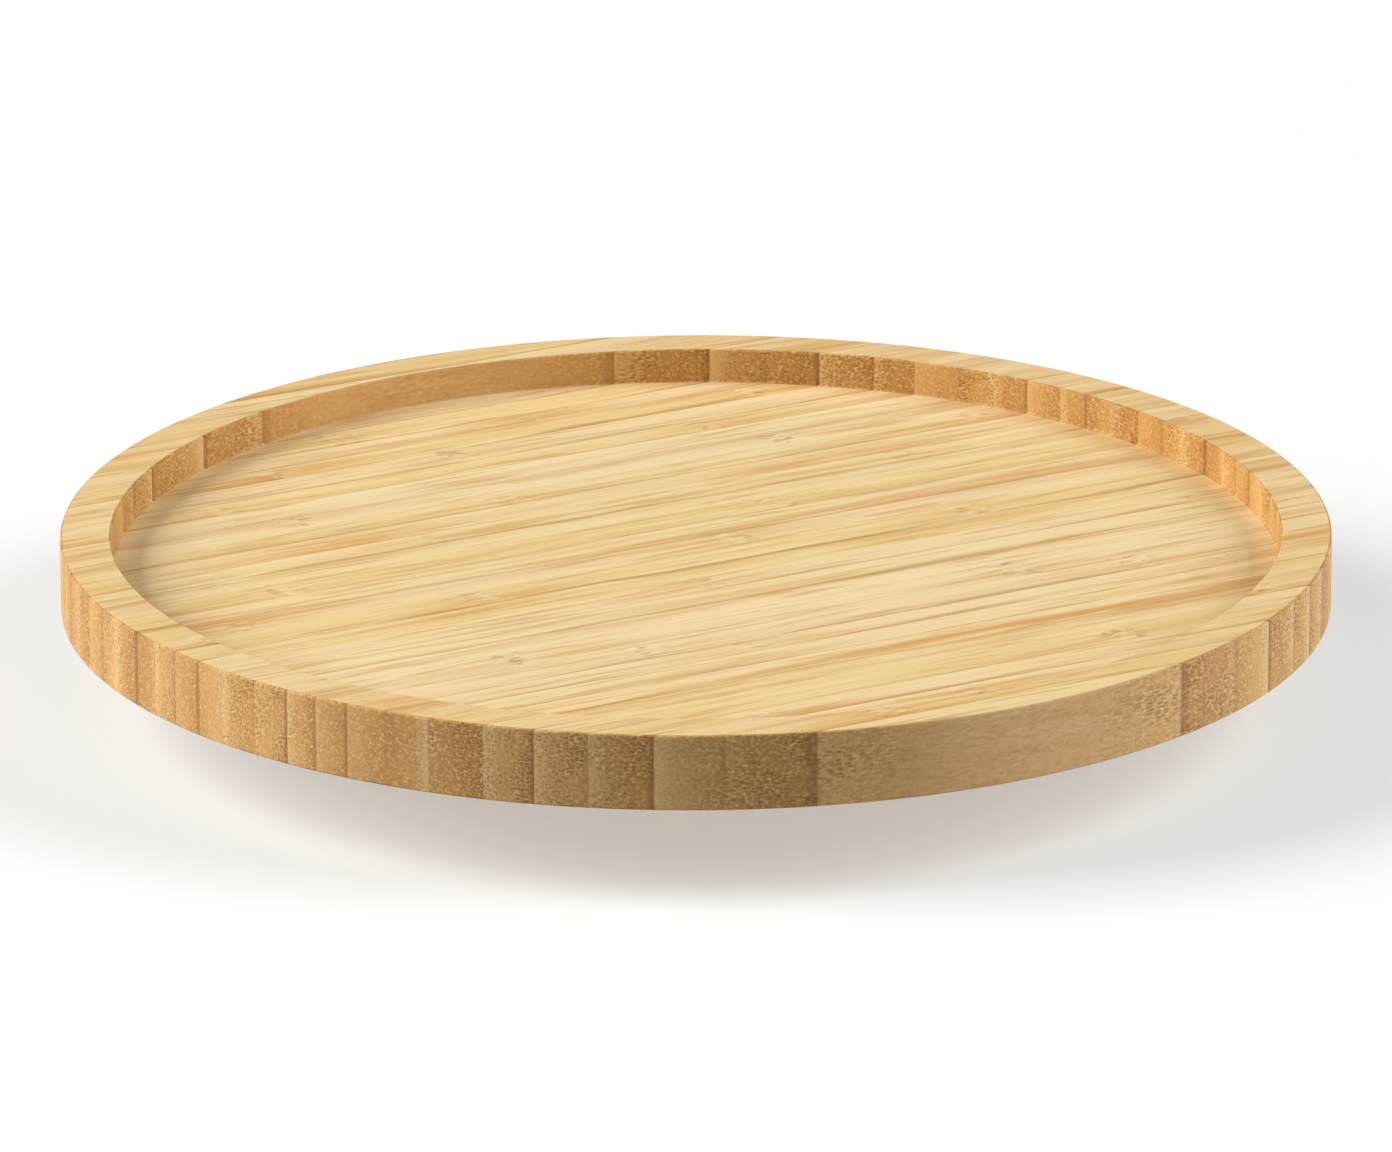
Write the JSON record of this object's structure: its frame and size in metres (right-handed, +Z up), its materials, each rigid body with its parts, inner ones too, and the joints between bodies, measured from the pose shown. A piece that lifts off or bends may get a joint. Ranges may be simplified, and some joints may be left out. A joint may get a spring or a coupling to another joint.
{
  "type": "lazy susan turntable",
  "caption": "Round bamboo tray with a raised rim that spins freely on a hidden pressed-steel ball bearing, over a small bamboo base disc on rubber feet.",
  "frame": {"origin": "on the spin axis, in the plane that the feet stand on", "axes": "+Z up along the spin axis; +X passes over the screwdriver hole in the base disc"},
  "size_m": [0.3, 0.3, 0.04],
  "materials": {
    "bamboo": "edge-glued bamboo strips, sanded and sealed with a satin clear coat",
    "zinc_steel": "bright zinc-plated pressed sheet steel and screws",
    "ball_steel": "polished bearing steel with a thin film of grease",
    "nylon": "moulded natural nylon",
    "rubber": "matt black moulded rubber"
  },
  "bodies": {
    "base": {"base_disc": "bamboo", "lower_race_plate": "zinc_steel", "base_screw_1": "zinc_steel", "base_screw_2": "zinc_steel", "base_screw_3": "zinc_steel", "base_screw_4": "zinc_steel", "foot_1": "rubber", "foot_2": "rubber", "foot_3": "rubber", "foot_4": "rubber", "foot_washer_1": "zinc_steel", "foot_washer_2": "zinc_steel", "foot_washer_3": "zinc_steel", "foot_washer_4": "zinc_steel", "foot_screw_1": "zinc_steel", "foot_screw_2": "zinc_steel", "foot_screw_3": "zinc_steel", "foot_screw_4": "zinc_steel"},
    "tray": {"tray": "bamboo", "upper_race_plate": "zinc_steel", "tray_screw_1": "zinc_steel", "tray_screw_2": "zinc_steel", "tray_screw_3": "zinc_steel", "tray_screw_4": "zinc_steel"},
    "cage": {"ball_cage": "nylon"},
    "ball_01": {"ball_01": "ball_steel"},
    "ball_02": {"ball_02": "ball_steel"},
    "ball_03": {"ball_03": "ball_steel"},
    "ball_04": {"ball_04": "ball_steel"},
    "ball_05": {"ball_05": "ball_steel"},
    "ball_06": {"ball_06": "ball_steel"},
    "ball_07": {"ball_07": "ball_steel"},
    "ball_08": {"ball_08": "ball_steel"},
    "ball_09": {"ball_09": "ball_steel"},
    "ball_10": {"ball_10": "ball_steel"},
    "ball_11": {"ball_11": "ball_steel"},
    "ball_12": {"ball_12": "ball_steel"},
    "ball_13": {"ball_13": "ball_steel"},
    "ball_14": {"ball_14": "ball_steel"},
    "ball_15": {"ball_15": "ball_steel"},
    "ball_16": {"ball_16": "ball_steel"},
    "ball_17": {"ball_17": "ball_steel"},
    "ball_18": {"ball_18": "ball_steel"},
    "ball_19": {"ball_19": "ball_steel"},
    "ball_20": {"ball_20": "ball_steel"}
  },
  "joints": [
    {"name": "tray_spin", "type": "hinge", "parent": "base", "child": "tray", "pos_m": [0, 0, 0.018], "axis": [0, 0, 1], "continuous": true},
    {"name": "cage_spin", "type": "hinge", "parent": "base", "child": "cage", "pos_m": [0, 0, 0.018], "axis": [0, 0, 1], "continuous": true},
    {"name": "ball_01_roll", "type": "hinge", "parent": "cage", "child": "ball_01", "pos_m": [0.036, 0, 0.018], "axis": [1, 0, 0], "continuous": true},
    {"name": "ball_02_roll", "type": "hinge", "parent": "cage", "child": "ball_02", "pos_m": [0.03424, 0.01112, 0.018], "axis": [0.9511, 0.309, 0], "continuous": true},
    {"name": "ball_03_roll", "type": "hinge", "parent": "cage", "child": "ball_03", "pos_m": [0.02912, 0.02116, 0.018], "axis": [0.809, 0.5878, 0], "continuous": true},
    {"name": "ball_04_roll", "type": "hinge", "parent": "cage", "child": "ball_04", "pos_m": [0.02116, 0.02912, 0.018], "axis": [0.5878, 0.809, 0], "continuous": true},
    {"name": "ball_05_roll", "type": "hinge", "parent": "cage", "child": "ball_05", "pos_m": [0.01112, 0.03424, 0.018], "axis": [0.309, 0.9511, 0], "continuous": true},
    {"name": "ball_06_roll", "type": "hinge", "parent": "cage", "child": "ball_06", "pos_m": [0, 0.036, 0.018], "axis": [0, 1, 0], "continuous": true},
    {"name": "ball_07_roll", "type": "hinge", "parent": "cage", "child": "ball_07", "pos_m": [-0.01112, 0.03424, 0.018], "axis": [-0.309, 0.9511, 0], "continuous": true},
    {"name": "ball_08_roll", "type": "hinge", "parent": "cage", "child": "ball_08", "pos_m": [-0.02116, 0.02912, 0.018], "axis": [-0.5878, 0.809, 0], "continuous": true},
    {"name": "ball_09_roll", "type": "hinge", "parent": "cage", "child": "ball_09", "pos_m": [-0.02912, 0.02116, 0.018], "axis": [-0.809, 0.5878, 0], "continuous": true},
    {"name": "ball_10_roll", "type": "hinge", "parent": "cage", "child": "ball_10", "pos_m": [-0.03424, 0.01112, 0.018], "axis": [-0.9511, 0.309, 0], "continuous": true},
    {"name": "ball_11_roll", "type": "hinge", "parent": "cage", "child": "ball_11", "pos_m": [-0.036, 0, 0.018], "axis": [-1, 0, 0], "continuous": true},
    {"name": "ball_12_roll", "type": "hinge", "parent": "cage", "child": "ball_12", "pos_m": [-0.03424, -0.01112, 0.018], "axis": [-0.9511, -0.309, 0], "continuous": true},
    {"name": "ball_13_roll", "type": "hinge", "parent": "cage", "child": "ball_13", "pos_m": [-0.02912, -0.02116, 0.018], "axis": [-0.809, -0.5878, 0], "continuous": true},
    {"name": "ball_14_roll", "type": "hinge", "parent": "cage", "child": "ball_14", "pos_m": [-0.02116, -0.02912, 0.018], "axis": [-0.5878, -0.809, 0], "continuous": true},
    {"name": "ball_15_roll", "type": "hinge", "parent": "cage", "child": "ball_15", "pos_m": [-0.01112, -0.03424, 0.018], "axis": [-0.309, -0.9511, 0], "continuous": true},
    {"name": "ball_16_roll", "type": "hinge", "parent": "cage", "child": "ball_16", "pos_m": [0, -0.036, 0.018], "axis": [0, -1, 0], "continuous": true},
    {"name": "ball_17_roll", "type": "hinge", "parent": "cage", "child": "ball_17", "pos_m": [0.01112, -0.03424, 0.018], "axis": [0.309, -0.9511, 0], "continuous": true},
    {"name": "ball_18_roll", "type": "hinge", "parent": "cage", "child": "ball_18", "pos_m": [0.02116, -0.02912, 0.018], "axis": [0.5878, -0.809, 0], "continuous": true},
    {"name": "ball_19_roll", "type": "hinge", "parent": "cage", "child": "ball_19", "pos_m": [0.02912, -0.02116, 0.018], "axis": [0.809, -0.5878, 0], "continuous": true},
    {"name": "ball_20_roll", "type": "hinge", "parent": "cage", "child": "ball_20", "pos_m": [0.03424, -0.01112, 0.018], "axis": [0.9511, -0.309, 0], "continuous": true}
  ],
  "couplings": [
    {"joint": "cage_spin", "follows": "tray_spin", "ratio": 0.5},
    {"joint": "ball_01_roll", "follows": "tray_spin", "ratio": -7.2},
    {"joint": "ball_02_roll", "follows": "tray_spin", "ratio": -7.2},
    {"joint": "ball_03_roll", "follows": "tray_spin", "ratio": -7.2},
    {"joint": "ball_04_roll", "follows": "tray_spin", "ratio": -7.2},
    {"joint": "ball_05_roll", "follows": "tray_spin", "ratio": -7.2},
    {"joint": "ball_06_roll", "follows": "tray_spin", "ratio": -7.2},
    {"joint": "ball_07_roll", "follows": "tray_spin", "ratio": -7.2},
    {"joint": "ball_08_roll", "follows": "tray_spin", "ratio": -7.2},
    {"joint": "ball_09_roll", "follows": "tray_spin", "ratio": -7.2},
    {"joint": "ball_10_roll", "follows": "tray_spin", "ratio": -7.2},
    {"joint": "ball_11_roll", "follows": "tray_spin", "ratio": -7.2},
    {"joint": "ball_12_roll", "follows": "tray_spin", "ratio": -7.2},
    {"joint": "ball_13_roll", "follows": "tray_spin", "ratio": -7.2},
    {"joint": "ball_14_roll", "follows": "tray_spin", "ratio": -7.2},
    {"joint": "ball_15_roll", "follows": "tray_spin", "ratio": -7.2},
    {"joint": "ball_16_roll", "follows": "tray_spin", "ratio": -7.2},
    {"joint": "ball_17_roll", "follows": "tray_spin", "ratio": -7.2},
    {"joint": "ball_18_roll", "follows": "tray_spin", "ratio": -7.2},
    {"joint": "ball_19_roll", "follows": "tray_spin", "ratio": -7.2},
    {"joint": "ball_20_roll", "follows": "tray_spin", "ratio": -7.2}
  ]
}
